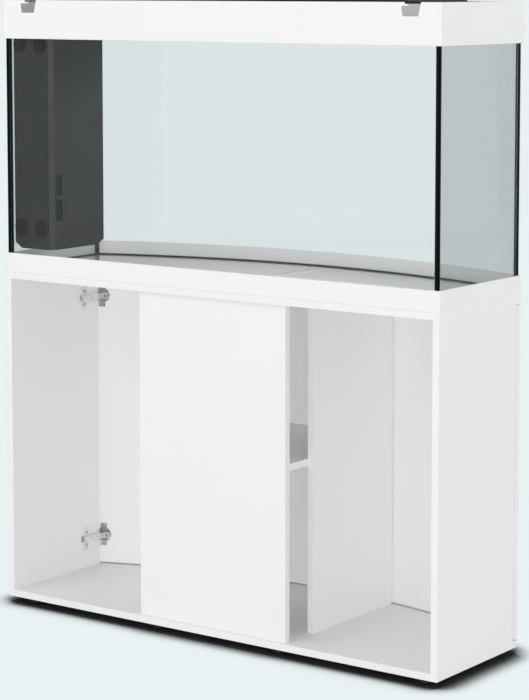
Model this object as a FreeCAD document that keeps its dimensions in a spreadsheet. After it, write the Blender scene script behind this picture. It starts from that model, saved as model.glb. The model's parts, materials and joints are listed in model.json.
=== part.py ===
import FreeCAD, Part
import math
import os
import re

import Sketcher
from FreeCAD import Placement, Rotation, Vector

# Aquarium on stand. Millimetres, +Z up, the bowed front faces -Y and the flat rear faces +Y.
# The origin is on the floor, in the middle of the bounding box.
# left_ and right_ are as seen by a person who faces the bowed front.

SIZES = {
    # overall outline, shared by the cabinet, the tank frame and the hood
    "width": 1210,
    "depth": 460,
    "bow_rise": 125.5,
    "cabinet_height": 800,
    "tank_height": 642,
    # cabinet boards
    "board": 16,
    "foot_height": 15,
    "foot_radius": 22.5,
    "foot_inset": 50,
    "foot_rear_inset": 35,
    "foot_inner_x": 172,
    "partition_x": 205,
    "partition_setback": 107,
    "rear_panel_width": 410,
    "rear_panel_recess": 10,
    "shelf_height": 411,
    "shelf_play": 0.5,
    "shelf_front_gap": 4,
    "shelf_pin_radius": 2.5,
    "shelf_pin_inset": 40,
    "shelf_pin_bite": 8,
    "screw_radius": 2.5,
    "screw_head_radius": 4.5,
    "screw_head_height": 4,
    "screw_length": 50,
    "screw_play": 0.05,
    "screw_end_inset": 45,
    # doors
    "door_thickness": 15,
    "door_side_gap": 1.5,
    "door_bottom_gap": 3,
    "door_top_gap": 1.5,
    "door_middle_gap": 3,
    "partition_front_gap": 3,
    # concealed hinges
    "hinge_low": 105,
    "hinge_high": 710,
    "cup_radius": 17.5,
    "cup_wall": 1.5,
    "cup_depth": 11.5,
    "cup_inset": 21.5,
    "cup_play": 0.1,
    "flange_thickness": 1.2,
    "flange_rim": 1.5,
    "flange_width": 16,
    "flange_height": 57,
    "cup_pivot_inset": 10,
    "cup_pivot_depth": 6,
    "arm_reach": 19,
    "arm_standoff": 7,
    "arm_half_width": 4,
    "arm_height": 14,
    "link_half_width": 1.5,
    "link_eye_radius": 3,
    "link_height": 5,
    "link_play": 0.3,
    "hinge_pin_radius": 1.5,
    "hinge_pin_play": 0.05,
    "plate_thickness": 2,
    "plate_length": 35,
    "plate_height": 54,
    "plate_setback": 52.5,
    "hinge_screw_radius": 1.8,
    "hinge_screw_head": 3.6,
    "hinge_screw_length": 11,
    "plate_screw_spread": 16,
    "cup_screw_spread": 23.5,
    # push catches and bumpers
    "catch_x": 16,
    "catch_width": 16,
    "catch_height": 14,
    "catch_length": 62,
    "plunger_radius": 3.5,
    "plunger_length": 60,
    "plunger_out": 14,
    "plunger_play": 0.3,
    "plunger_gap": 1.2,
    "bumper_radius": 4,
    "bumper_gap": 0.3,
    # tank
    "frame_height": 46,
    "frame_wall": 4,
    "frame_floor": 3,
    "frame_ledge": 24,
    "frame_strap": 40,
    "glass_gap": 0.5,
    "glass": 10,
    "glass_height": 586.5,
    "seam": 1,
    "bead": 6,
    "corner_bead": 2.5,
    "floor_bead_height": 3,
    # hood
    "hood_height": 90,
    "hood_wall": 4,
    "hood_ledge_width": 20,
    "hood_ledge": 3,
    "rim_width": 20,
    "rim_thickness": 4,
    "lip_width": 12,
    "lip_thickness": 4,
    "notch_inset": 76.5,
    "notch_top": 53,
    "notch_bottom": 38.5,
    "notch_depth": 29.5,
    "notch_reach": 46,
    "deck_thickness": 3,
    "deck_gap": 1,
    "flap_side_inset": 115,
    "flap_rear": 45,
    "flap_depth": 245,
    "flap_thickness": 4,
    "flap_gap": 1.5,
    "flap_overlap": 18,
    "flap_tab_width": 60,
    "flap_tab_reach": 9,
    "barrel_radius": 2.2,
    "barrel_length": 24,
    "barrel_gap": 0.5,
    "flap_pin_radius": 1,
    "flap_pin_play": 0.05,
    "hatch_width": 115,
    "hatch_depth": 42,
    "hatch_front": 22,
    "hatch_thickness": 4,
    # light
    "light_y": -70,
    "light_bar_width": 66,
    "light_bar_height": 12,
    "light_bar_wall": 2,
    "light_bar_play": 9,
    "tube_radius": 8.5,
    "tube_end_inset": 81.5,
    "tube_play": 0.1,
    "tube_spread": 20,
    "tube_drop": 14,
    "socket_radius": 10.5,
    "socket_length": 34,
    "socket_bite": 18,
    # filter
    "filter_width": 120,
    "filter_depth": 195,
    "filter_side_gap": 2.5,
    "filter_rear_gap": 1.5,
    "filter_bottom": 858,
    "filter_base_height": 16,
    "filter_top_gap": 8,
    "filter_wall": 3,
    "filter_chamfer": 10,
    "filter_corner_chamfer": 4,
    "base_side_taper": 23,
    "base_front_taper": 35,
    "pad_radius": 20,
    "pad_inset": 24,
    "pad_spacing": 61,
    "pad_low": 50,
    "pad_high": 44,
    "slot_width": 8,
    "slot_height": 49,
    "slot_rib": 4,
    "slot_inset": 14,
    "slot_low": 926,
    "slot_gap": 9.5,
    "divider_y": 62,
    "divider_window": 60,
    "divider_play": 0.4,
    "sponge_height": 100,
    "sponge_count": 3,
    "basket_height": 50,
    "basket_wall": 2,
    "media_play": 2,
    "pump_width": 52,
    "pump_depth": 74,
    "pump_height": 76,
    "pump_plate_thickness": 3,
    "pump_motor_radius": 20,
    "pipe_radius": 9,
    "heater_radius": 12,
    "heater_play": 0.1,
    "heater_length": 330,
    "heater_cap_radius": 14,
    "heater_cap_height": 34,
    "nozzle_radius": 11,
    "nozzle_drop": 40,
    "nozzle_length": 34,
    "nozzle_wall": 3,
    "nozzle_tail": 6,
    "nozzle_gap": 0.3,
    "nozzle_collar": 15,
    "nozzle_play": 0.05,
}

SIDES = (("left", -1), ("right", 1))


def make_sheet(doc):
    """The driving dimensions: one plain number in each cell, named by its alias."""
    table = doc.addObject("Spreadsheet::Sheet", "sheet")
    for row, (alias, number) in enumerate(SIZES.items(), 1):
        table.set(f"A{row}", alias)
        table.set(f"B{row}", str(number))
        table.setAlias(f"B{row}", alias)
    doc.recompute()
    return table


doc = FreeCAD.newDocument("aquarium_on_stand")
sheet = make_sheet(doc)


def tie(text):
    """A formula of plain size names, as an expression on the spreadsheet."""
    return re.sub(r"[a-z_]+", lambda m: f"sheet.{m[0]}" if m[0] in SIZES else m[0], text)


def size(text):
    """The present value of a formula of size names, in millimetres or degrees."""
    result = sheet.evalExpression(tie(text))
    return float(getattr(result, "Value", result))


def bind(thing, **sizes):
    """Binds properties to formulas. A double underscore in a name stands for a dot."""
    for name, text in sizes.items():
        thing.setExpression(name.replace("__", "."), tie(text))
    return thing


# Formulas that several pieces share. The bow is one arc, and everything that follows it is concentric.
HALF = "(width / 2)"
REAR = "(depth / 2)"
BOW = "((width * width / 4 + bow_rise * bow_rise) / (2 * bow_rise))"
BOW_Y = f"({BOW} - depth / 2)"
BOTTOM_TOP = "(foot_height + board)"
ROOF = "(cabinet_height - board)"
DOOR_INSIDE = f"({BOW} - door_thickness)"
GLASS_IN = "(hood_wall + glass_gap)"
PANE_IN = "(frame_wall + glass_gap + glass)"
TANK_FLOOR = "(cabinet_height + frame_floor)"
GLASS_TOP = f"({TANK_FLOOR} + glass_height)"
TOP = "(cabinet_height + tank_height)"
HOOD_BOTTOM = f"({TOP} - hood_height)"
LIP_TOP = f"({TOP} - rim_thickness)"
DECK_TOP = f"({LIP_TOP} + deck_thickness)"


def bow_y(x, radius):
    """The y of the bow of that radius at x, as a formula."""
    return f"({BOW_Y} - sqrt(({radius}) * ({radius}) - ({x}) * ({x})))"


SIDE_FRONT = f"({bow_y(HALF, DOOR_INSIDE)} + door_side_gap)"
PARTITION_FRONT = (
    f"({bow_y('partition_x + board / 2', DOOR_INSIDE)} + partition_front_gap)"
)


def block(label, x, y, z):
    """A box between the low and high formulas of each axis."""
    box = doc.addObject("Part::Box", label)
    bind(
        box,
        Length=f"({x[1]}) - ({x[0]})",
        Width=f"({y[1]}) - ({y[0]})",
        Height=f"({z[1]}) - ({z[0]})",
        Placement__Base__x=x[0],
        Placement__Base__y=y[0],
        Placement__Base__z=z[0],
    )
    return box


def mirrored(side, low, high):
    """An x range given for the right side, on either side."""
    return (low, high) if side > 0 else (f"-({high})", f"-({low})")


def rod(label, radius, length, x, y, z, axis=Vector(0, 0, 1)):
    """A cylinder that starts at x, y, z and runs along the axis."""
    cylinder = doc.addObject("Part::Cylinder", label)
    cylinder.Placement = Placement(Vector(), Rotation(Vector(0, 0, 1), axis))
    bind(
        cylinder,
        Radius=radius,
        Height=length,
        Placement__Base__x=x,
        Placement__Base__y=y,
        Placement__Base__z=z,
    )
    return cylinder


def cut(label, base, tool):
    """base without tool."""
    result = doc.addObject("Part::Cut", label)
    result.Base = base
    result.Tool = tool
    return result


def fuse(label, *pieces):
    """One solid of pieces that touch or overlap."""
    result = doc.addObject("Part::MultiFuse", label)
    result.Shapes = list(pieces)
    result.Refine = True
    return result


def common(label, *pieces):
    """What the pieces share."""
    result = doc.addObject("Part::MultiCommon", label)
    result.Shapes = list(pieces)
    return result


def group(label, *pieces):
    """Separate solids under one name."""
    result = doc.addObject("Part::Compound", label)
    result.Links = list(pieces)
    return result


def mirror(label, source):
    """The mirror image of a right-hand piece, for the left side."""
    result = doc.addObject("Part::Mirroring", label)
    result.Source = source
    result.Normal = Vector(1, 0, 0)
    return result


def bow_disc(label, inset, z):
    """A disc whose rim is the bow, moved in by inset."""
    return rod(label, f"{BOW} - ({inset})", f"({z[1]}) - ({z[0]})", "0", BOW_Y, z[0])


def bow_plate(label, inset, z):
    """A plate with a straight rear and sides and a bowed front, all moved in from the outline."""
    x = (f"-{HALF} + ({inset})", f"{HALF} - ({inset})")
    box = block(f"{label}_box", x, (f"-{REAR}", f"{REAR} - ({inset})"), z)
    return common(label, box, bow_disc(f"{label}_disc", inset, z))


def bow_ring(label, outer, inner, z):
    """A ring between two insets of the outline."""
    low, high = z
    inside = bow_plate(f"{label}_inside", inner, (f"{low} - 1", f"{high} + 1"))
    return cut(label, bow_plate(f"{label}_outside", outer, z), inside)


def origin_plane(body, role):
    """One of the body's own origin planes."""
    return next(f for f in body.Origin.OriginFeatures if f.Role == role)


def outline_sketch(body, corners, plane="XY_Plane"):
    """A closed outline of straight lines whose corners are bound to pairs of formulas."""
    sketch = body.newObject("Sketcher::SketchObject", f"{body.Name}_outline")
    sketch.AttachmentSupport = [(origin_plane(body, plane), "")]
    sketch.MapMode = "FlatFace"
    points = [Vector(size(x), size(y), 0) for x, y in corners]
    for i, point in enumerate(points):
        sketch.addGeometry(Part.LineSegment(point, points[(i + 1) % len(points)]))
    for i in range(len(points)):
        last = (i - 1) % len(points)
        sketch.addConstraint(Sketcher.Constraint("Coincident", last, 2, i, 1))
    for i, (corner, point) in enumerate(zip(corners, points)):
        for kind, text, number in zip(("DistanceX", "DistanceY"), corner, point):
            constraint = Sketcher.Constraint(kind, -1, 1, i, 1, number)
            index = sketch.addConstraint(constraint)
            sketch.setExpression(f"Constraints[{index}]", tie(text))
    return sketch


def prism(label, corners, z):
    """A PartDesign body: the outline padded from the low to the high formula of z."""
    body = doc.addObject("PartDesign::Body", label)
    pad = body.newObject("PartDesign::Pad", f"{label}_pad")
    pad.Profile = outline_sketch(body, corners)
    bind(pad, Length=f"({z[1]}) - ({z[0]})")
    body.Tip = pad
    bind(body, Placement__Base__z=z[0])
    return body


def turned(label, corners):
    """A PartDesign body: an outline of radii and heights turned round the z axis."""
    body = doc.addObject("PartDesign::Body", label)
    turn = body.newObject("PartDesign::Revolution", f"{label}_turn")
    turn.Profile = outline_sketch(body, corners, "XZ_Plane")
    turn.ReferenceAxis = (turn.Profile[0], ["V_Axis"])
    turn.Angle = 360
    body.Tip = turn
    return body


def copies(label, source, places):
    """Separate solids: the source piece at each place, a triple of formulas."""
    doc.recompute()
    shapes = []
    for place in places:
        shape = source.Shape.copy()
        shape.translate(Vector(*(size(text) for text in place)))
        shapes.append(shape)
    result = doc.addObject("Part::Feature", label)
    result.Shape = Part.makeCompound(shapes)
    return result


def cylinder(radius, length, x, y, z, axis=(0, 0, 1)):
    """A plain cylinder shape from formulas."""
    centre = Vector(size(x), size(y), size(z))
    return Part.makeCylinder(size(radius), size(length), centre, Vector(*axis))


# Cabinet


def screw_places():
    """Where the carcass screws stand: two in each upright board, as x and y formulas."""
    side_x = f"{HALF} - board / 2"
    uprights = [(side_x, SIDE_FRONT, REAR)]
    uprights.append(("partition_x", PARTITION_FRONT, f"{REAR} - partition_setback"))
    for x, front, rear in uprights:
        for y in (f"{front} + screw_end_inset", f"{rear} - screw_end_inset"):
            for sign in ("-", ""):
                yield f"{sign}({x})", y
    for sign in ("-", ""):
        yield f"{sign}(rear_panel_width / 3)", f"{REAR} - rear_panel_recess - board / 2"


def screw_shape(x, y, face, direction, play):
    """A carcass screw with its head sunk flush in a board's face."""
    up = (0, 0, direction)
    head = cylinder(f"screw_head_radius + {play}", "screw_head_height", x, y, face, up)
    shank = cylinder(f"screw_radius + {play}", f"screw_length + 10 * {play}", x, y, face, up)
    return head.fuse(shank)


def make_screws(label, face, direction, play="0"):
    """All the screws that enter one face of the carcass."""
    screws = [screw_shape(x, y, face, direction, play) for x, y in screw_places()]
    result = doc.addObject("Part::Feature", label)
    result.Shape = Part.makeCompound(screws)
    return result


def foot_places():
    """Centres of the eight feet, as x and y formulas."""
    outer = f"{HALF} - foot_inset"
    for x in (outer, "foot_inner_x"):
        for sign in ("-", ""):
            yield f"{sign}({x})", f"{REAR} - foot_rear_inset"
            yield f"{sign}({x})", f"{bow_y(x, BOW)} + foot_inset"


def make_feet():
    """Round glides under the bottom board, each held by one screw from below."""
    recess = "screw_head_height + 1"
    foot = turned(
        "foot",
        [
            ("screw_radius + screw_play", recess),
            ("screw_head_radius + 1", recess),
            ("screw_head_radius + 1", "0"),
            ("foot_radius - 3", "0"),
            ("foot_radius", "3"),
            ("foot_radius", "foot_height - 4"),
            ("foot_radius - 4", "foot_height"),
            ("screw_radius + screw_play", "foot_height"),
        ],
    )
    places = [(x, y, "0") for x, y in foot_places()]
    copies("feet", foot, places)
    screws = [foot_screw(x, y, "0") for x, y in foot_places()]
    result = doc.addObject("Part::Feature", "foot_screws")
    result.Shape = Part.makeCompound(screws)


def foot_screw(x, y, play):
    """The screw of one foot, up into the bottom board."""
    head = cylinder("screw_head_radius", "screw_head_height", x, y, "1")
    length = f"foot_height + board * 0.75 - 2 + 10 * {play}"
    return head.fuse(cylinder(f"screw_radius + {play}", length, x, y, "2"))


def make_foot_screw_holes():
    """The holes that the foot screws need in the bottom board."""
    holes = [foot_screw(x, y, "screw_play") for x, y in foot_places()]
    result = doc.addObject("Part::Feature", "foot_screw_holes")
    result.Shape = Part.makeCompound(holes)
    return result


def make_carcass():
    """The boards of the cabinet, drilled for its screws."""
    low_face, high_face = "foot_height", "cabinet_height"
    low_holes = make_screws("low_screw_holes", low_face, 1, "screw_play")
    high_holes = make_screws("high_screw_holes", high_face, -1, "screw_play")
    low_screws = make_screws("low_screws", low_face, 1)
    group("carcass_screws", low_screws, make_screws("high_screws", high_face, -1))
    holes = group("screw_holes", low_holes, high_holes)
    bottom = bow_plate("bottom_blank", "0", (low_face, BOTTOM_TOP))
    drilled = cut("bottom_drilled", bottom, low_holes)
    cut("bottom_board", drilled, make_foot_screw_holes())
    cut("top_board", bow_plate("top_blank", "0", (ROOF, high_face)), high_holes)
    upright = (BOTTOM_TOP, ROOF)
    for name, side in SIDES:
        x = mirrored(side, f"{HALF} - board", HALF)
        panel = block(f"{name}_side_blank", x, (SIDE_FRONT, REAR), upright)
        tools = group(f"{name}_side_holes", holes, make_plate_screw_holes(name, side))
        cut(f"{name}_side_panel", panel, tools)
        x = mirrored(side, "partition_x - board / 2", "partition_x + board / 2")
        y = (PARTITION_FRONT, f"{REAR} - partition_setback")
        partition = block(f"{name}_partition_blank", x, y, upright)
        tools = group(f"{name}_partition_holes", holes, make_shelf_pins(name, side, True))
        cut(f"{name}_partition", partition, tools)
    rear_y = f"{REAR} - rear_panel_recess"
    x = ("-rear_panel_width / 2", "rear_panel_width / 2")
    panel = block("rear_panel_blank", x, (f"{rear_y} - board", rear_y), upright)
    cut("rear_centre_panel", panel, holes)


def shelf_pin_ys():
    """The two rows of shelf pins, near the front and rear edges of the partitions."""
    return (
        f"{PARTITION_FRONT} + shelf_pin_inset",
        f"{REAR} - partition_setback - shelf_pin_inset",
    )


def make_shelf_pins(name, side, hole=False):
    """Two round pins that stand out of one partition under the shelf."""
    play = "screw_play" if hole else "0"
    inner = f"{side} * (partition_x - board / 2 + shelf_pin_bite)"
    radius = f"shelf_pin_radius + {play}"
    pins = []
    for row, y in enumerate(shelf_pin_ys()):
        label = f"{name}_shelf_{'hole' if hole else 'pin'}_{row}"
        z = "shelf_height - shelf_pin_radius"
        pins.append(
            rod(label, radius, "2 * shelf_pin_bite", inner, y, z, Vector(-side, 0, 0))
        )
    return group(f"{name}_shelf_{'holes' if hole else 'pin_pair'}", *pins)


def make_shelf():
    """The shelf of the centre bay, on four pins."""
    x = "partition_x - board / 2 - shelf_play"
    rear = f"{REAR} - rear_panel_recess - board - shelf_play"
    z = ("shelf_height", "shelf_height + board")
    blank = block("shelf_blank", (f"-({x})", x), (f"-{REAR}", rear), z)
    front = bow_disc("shelf_front", "door_thickness + shelf_front_gap", z)
    common("centre_shelf", blank, front)
    pins = [make_shelf_pins(name, side) for name, side in SIDES]
    group("shelf_pins", *pins)


# Doors and their concealed hinges. Pieces are made for the right side and mirrored.

PANEL_FACE = f"({HALF} - board)"
CUP_X = f"({HALF} - cup_inset)"
CUP_Y = bow_y(CUP_X, DOOR_INSIDE)
CUP_PIVOT_X = f"({HALF} - cup_pivot_inset)"
CUP_PIVOT_Y = f"({bow_y(CUP_PIVOT_X, DOOR_INSIDE)} - cup_pivot_depth)"
ARM_PIVOT_X = f"({PANEL_FACE} - arm_reach)"
ARM_PIVOT_Y = f"({bow_y(ARM_PIVOT_X, DOOR_INSIDE)} + arm_standoff)"
PLATE_Y = f"({SIDE_FRONT} + plate_setback - plate_length / 2)"
HINGE_HEIGHTS = ("hinge_low", "hinge_high")


def cup_turn():
    """The angle of the door's inner face at the cup, in degrees."""
    return math.degrees(math.asin(size(CUP_X) / size(DOOR_INSIDE)))


def at_cup(shape, z):
    """Moves a shape made at the origin, +Y out of the door's inner face, to its cup.

    It is lifted by the hollow of the inner face, so that the flange's edges rest on the door.
    """
    hollow = size("cup_radius + flange_rim") ** 2 / (2 * size(DOOR_INSIDE))
    shape.translate(Vector(0, hollow, 0))
    shape.rotate(Vector(), Vector(0, 0, 1), cup_turn())
    shape.translate(Vector(size(CUP_X), size(CUP_Y), size(z)))
    return shape


def post(radius, low, high, x=0.0, z=0.0):
    """A cylinder along +Y of the door's inner face, from low to high."""
    return Part.makeCylinder(radius, high - low, Vector(x, low, z), Vector(0, 1, 0))


def cup_shape(z):
    """A hinge cup with its flange, drilled for its two screws and its pin."""
    radius, wall, depth = size("cup_radius"), size("cup_wall"), size("cup_depth")
    rise, width, height = size("flange_thickness"), size("flange_width"), size("flange_height")
    ears = Part.makeBox(width, rise, height, Vector(-width / 2, 0, -height / 2))
    cup = post(radius, -depth, 0).fuse(post(radius + size("flange_rim"), 0, rise)).fuse(ears)
    cup = cup.cut(post(radius - wall, wall - depth, rise))
    for end in (-1, 1):
        spread = end * size("cup_screw_spread")
        cup = cup.cut(post(size("hinge_screw_radius + screw_play"), 0, rise, z=spread))
    return at_cup(cup, z).cut(hinge_pin(CUP_PIVOT_X, CUP_PIVOT_Y, z, cup_pin_length(), 0))


def cup_pin_length():
    """The pin's length: across the hollow of the cup at the pivot, and into both walls."""
    offset = size(CUP_PIVOT_X) - size(CUP_X)
    radius = size("cup_radius - cup_wall / 2")
    return 2 * math.sqrt(radius**2 - (offset / math.cos(math.radians(cup_turn()))) ** 2)


def hinge_pin(x, y, z, length, play):
    """A vertical pin centred on the hinge's height."""
    place = Vector(size(x), size(y), size(z) - length / 2)
    return Part.makeCylinder(size("hinge_pin_radius") + play, length, place)


def door_cut(z):
    """The pocket and screw holes of one cup in the door."""
    play = size("cup_play")
    pocket = post(size("cup_radius") + play, -size("cup_depth") - play, 4)
    for end in (-1, 1):
        spread = end * size("cup_screw_spread")
        pocket = pocket.fuse(
            post(size("hinge_screw_radius + screw_play"), -size("hinge_screw_length"), 1, z=spread)
        )
    return at_cup(pocket, z)


def cup_screw(z, end):
    """One screw of a cup, its head on the flange."""
    rise = size("flange_thickness")
    spread = end * size("cup_screw_spread")
    head = post(size("hinge_screw_head"), rise, rise + 1.2, z=spread)
    shank = post(size("hinge_screw_radius"), rise - size("hinge_screw_length"), rise + 1, z=spread)
    return at_cup(head.fuse(shank), z)


def strap(points, half, low, high):
    """A bar of constant width along straight runs, with round joints, from low to high."""
    result = None
    for start, end in zip(points, points[1:]):
        run = end - start
        across = Vector(-run.y, run.x, 0).normalize() * half
        corners = [start + across, end + across, end - across, start - across]
        face = Part.Face(Part.makePolygon(corners + corners[:1]))
        bar = face.extrude(Vector(0, 0, high - low))
        for point in (start, end):
            bar = bar.fuse(Part.makeCylinder(half, high - low, point))
        result = bar if result is None else result.fuse(bar)
    result.translate(Vector(0, 0, low))
    return result.removeSplitter()


def plan_point(x, y):
    """A point in plan from two formulas."""
    return Vector(size(x), size(y), 0)


def link_shape(z):
    """The cranked link from the arm's pin into the cup, with an eye at each end."""
    arm = plan_point(ARM_PIVOT_X, ARM_PIVOT_Y)
    cup = plan_point(CUP_PIVOT_X, CUP_PIVOT_Y)
    turn = Rotation(Vector(0, 0, 1), cup_turn())
    face = plan_point(CUP_X, CUP_Y)
    hollow = size("cup_depth - cup_wall - link_half_width") - 1
    crank = face + turn.multVec(Vector(0.5, -hollow, 0))
    low = size(z) - size("link_height") / 2
    high = low + size("link_height")
    link = strap([arm, crank, cup], size("link_half_width"), low, high)
    for point in (arm, cup):
        base = Vector(point.x, point.y, low)
        link = link.fuse(Part.makeCylinder(size("link_eye_radius"), high - low, base))
    play = size("hinge_pin_play")
    link = link.cut(hinge_pin(ARM_PIVOT_X, ARM_PIVOT_Y, z, 30, play))
    return link.cut(hinge_pin(CUP_PIVOT_X, CUP_PIVOT_Y, z, 30, play)).removeSplitter()


def arm_shape(z):
    """The arm from the mounting plate to the link's pin, forked round the link."""
    half, tall = size("arm_half_width"), size("arm_height")
    pivot = plan_point(ARM_PIVOT_X, ARM_PIVOT_Y)
    seat_x = f"{PANEL_FACE} - plate_thickness - arm_half_width"
    rear = plan_point(seat_x, f"{PLATE_Y} + plate_length - 6")
    knee = plan_point(seat_x, f"{SIDE_FRONT} + 8")
    low = size(z) - tall / 2
    arm = strap([rear, knee, pivot], half, low, low + tall)
    slot = size("link_height") / 2 + size("link_play")
    clear = size("link_eye_radius") + half
    base = Vector(pivot.x, pivot.y, size(z) - slot)
    arm = arm.cut(Part.makeCylinder(clear, 2 * slot, base))
    return arm.cut(hinge_pin(ARM_PIVOT_X, ARM_PIVOT_Y, z, tall, 0)).removeSplitter()


def plate_screw(side, z, end, play):
    """One screw through a mounting plate into the side panel."""
    x = f"{side} * ({PANEL_FACE} - plate_thickness)"
    y = f"{PLATE_Y} + plate_length / 2"
    height = f"{z} + {end} * plate_screw_spread"
    shank = cylinder(
        f"hinge_screw_radius + {play}", "hinge_screw_length", x, y, height, (side, 0, 0)
    )
    head = cylinder("hinge_screw_head", "1.5", f"{x} - {side} * 1.5", y, height, (side, 0, 0))
    return shank.fuse(head)


def make_plate_screw_holes(name, side):
    """The holes of the mounting plates' screws in one side panel."""
    shapes = [
        plate_screw(side, z, end, "screw_play") for z in HINGE_HEIGHTS for end in (-1, 1)
    ]
    result = doc.addObject("Part::Feature", f"{name}_plate_screw_holes")
    result.Shape = Part.makeCompound(shapes)
    return result


def plate_shape(z):
    """A mounting plate on the side panel's inner face."""
    x, y = size(f"{PANEL_FACE} - plate_thickness"), size(PLATE_Y)
    height = size("plate_height")
    corner = Vector(x, y, size(z) - height / 2)
    plate = Part.makeBox(size("plate_thickness"), size("plate_length"), height, corner)
    neck = size("plate_length") / 2 - 8
    for end in (-1, 1):
        for edge in (y, y + size("plate_length") - neck):
            low = size(z) + (8 if end > 0 else -height / 2)
            waist = Part.makeBox(size("plate_thickness"), neck, height / 2 - 8, Vector(x, edge, low))
            plate = plate.cut(waist)
        plate = plate.cut(plate_screw(1, z, end, "screw_play"))
    return plate


def hinge_pieces(name, right):
    """A right-hand group of hinge pieces and its mirror image."""
    piece = doc.addObject("Part::Feature", f"right_{name}")
    piece.Shape = Part.makeCompound(right)
    return piece, mirror(f"left_{name}", piece)


def fixed_hinge_pieces(name, right):
    """Hinge pieces of both sides that stay with the cabinet, under one name."""
    group(name, *hinge_pieces(name, right))


def make_hinges():
    """Two concealed hinges for each door."""
    tall = size("arm_height")
    heights = HINGE_HEIGHTS
    ends = [(z, end) for z in heights for end in (-1, 1)]
    fixed_hinge_pieces("hinge_plates", [plate_shape(z) for z in heights])
    fixed_hinge_pieces("hinge_arms", [arm_shape(z) for z in heights])
    pins = [hinge_pin(ARM_PIVOT_X, ARM_PIVOT_Y, z, tall, 0) for z in heights]
    fixed_hinge_pieces("hinge_arm_pins", pins)
    fixed_hinge_pieces("hinge_plate_screws", [plate_screw(1, z, end, "0") for z, end in ends])
    hinge_pieces("hinge_links", [link_shape(z) for z in heights])
    hinge_pieces("hinge_cups", [cup_shape(z) for z in heights])
    length = cup_pin_length()
    pins = [hinge_pin(CUP_PIVOT_X, CUP_PIVOT_Y, z, length, 0) for z in heights]
    hinge_pieces("cup_pins", pins)
    hinge_pieces("cup_screws", [cup_screw(z, end) for z, end in ends])


def make_doors():
    """Two bent doors between the top and bottom boards, with pockets for the cups."""
    z = (f"{BOTTOM_TOP} + door_bottom_gap", f"{ROOF} - door_top_gap")
    outer = bow_disc("door_outer", "0", z)
    inner = bow_disc("door_inner", "door_thickness", z)
    box = block("door_box", ("door_middle_gap / 2", HALF), (f"-{REAR}", SIDE_FRONT), z)
    curved = cut("door_curved", common("door_front", box, outer), inner)
    pockets = doc.addObject("Part::Feature", "door_pockets")
    pockets.Shape = Part.makeCompound([door_cut(z) for z in HINGE_HEIGHTS])
    right = cut("right_door", curved, pockets)
    mirror("left_door", right)


def make_catches():
    """Push catches under the top board, and soft bumpers on the partitions' front edges."""
    half = "catch_width / 2"
    axis_z = f"{ROOF} - catch_height / 2"
    tip_y = f"({bow_y('catch_x + plunger_radius', DOOR_INSIDE)} + plunger_gap)"
    y = (f"{tip_y} + plunger_out", f"{tip_y} + plunger_out + catch_length")
    body = block(
        "catch_block", (f"catch_x - {half}", f"catch_x + {half}"), y, (f"{ROOF} - catch_height", ROOF)
    )
    bore = rod(
        "catch_bore",
        "plunger_radius + plunger_play",
        "plunger_length - plunger_out + 6",
        "catch_x",
        f"{tip_y} + plunger_out",
        axis_z,
        Vector(0, 1, 0),
    )
    housing = cut("right_catch_housing", body, bore)
    mirror("left_catch_housing", housing)
    plunger = rod(
        "right_catch_plunger",
        "plunger_radius",
        "plunger_length",
        "catch_x",
        tip_y,
        axis_z,
        Vector(0, 1, 0),
    )
    mirror("left_catch_plunger", plunger)
    bumpers = []
    face_y = bow_y("partition_x + bumper_radius", DOOR_INSIDE)
    for name, side in SIDES:
        for row, z in enumerate(HINGE_HEIGHTS):
            bumpers.append(
                rod(
                    f"{name}_bumper_{row}",
                    "bumper_radius",
                    f"{PARTITION_FRONT} - {face_y} - bumper_gap",
                    f"{side} * partition_x",
                    PARTITION_FRONT,
                    z,
                    Vector(0, -1, 0),
                )
            )
    group("door_bumpers", *bumpers)


# Tank


def make_tank_frame():
    """The plastic frame round the tank's foot: a wall, a ledge and a strap across the middle."""
    wall = bow_ring("frame_wall_ring", "0", "frame_wall", ("cabinet_height", "cabinet_height + frame_height"))
    z = ("cabinet_height", TANK_FLOOR)
    ledge = bow_ring("frame_ledge_ring", "0", "frame_ledge", z)
    strap_box = block(
        "strap_box",
        ("-frame_strap / 2", "frame_strap / 2"),
        (f"-{REAR} + frame_wall", f"{REAR} - frame_wall"),
        z,
    )
    fuse("tank_bottom_frame", wall, ledge, strap_box)


def make_panes():
    """Bottom, rear, two sides and the bent front, with a seam's width between them."""
    inside = f"{HALF} - {PANE_IN}"
    outside = f"{HALF} - {GLASS_IN}"
    z = (TANK_FLOOR, GLASS_TOP)
    rear = (f"{REAR} - {PANE_IN}", f"{REAR} - {GLASS_IN}")
    bow_plate("bottom_pane", f"{PANE_IN} + seam", (TANK_FLOOR, f"{TANK_FLOOR} + glass"))
    block("rear_pane", (f"-({inside}) + seam", f"{inside} - seam"), rear, z)
    keep = bow_disc("side_front", f"{PANE_IN} + seam", z)
    for name, side in SIDES:
        x = mirrored(side, inside, outside)
        blank = block(f"{name}_pane_blank", x, (f"-{REAR}", rear[1]), z)
        common(f"{name}_pane", blank, keep)
    box = block("front_pane_box", (f"-({outside})", outside), (f"-{REAR}", "0"), z)
    bent = common("front_pane_bent", box, bow_disc("front_outer", GLASS_IN, z))
    cut("front_pane", bent, bow_disc("front_inner", PANE_IN, z))


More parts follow.
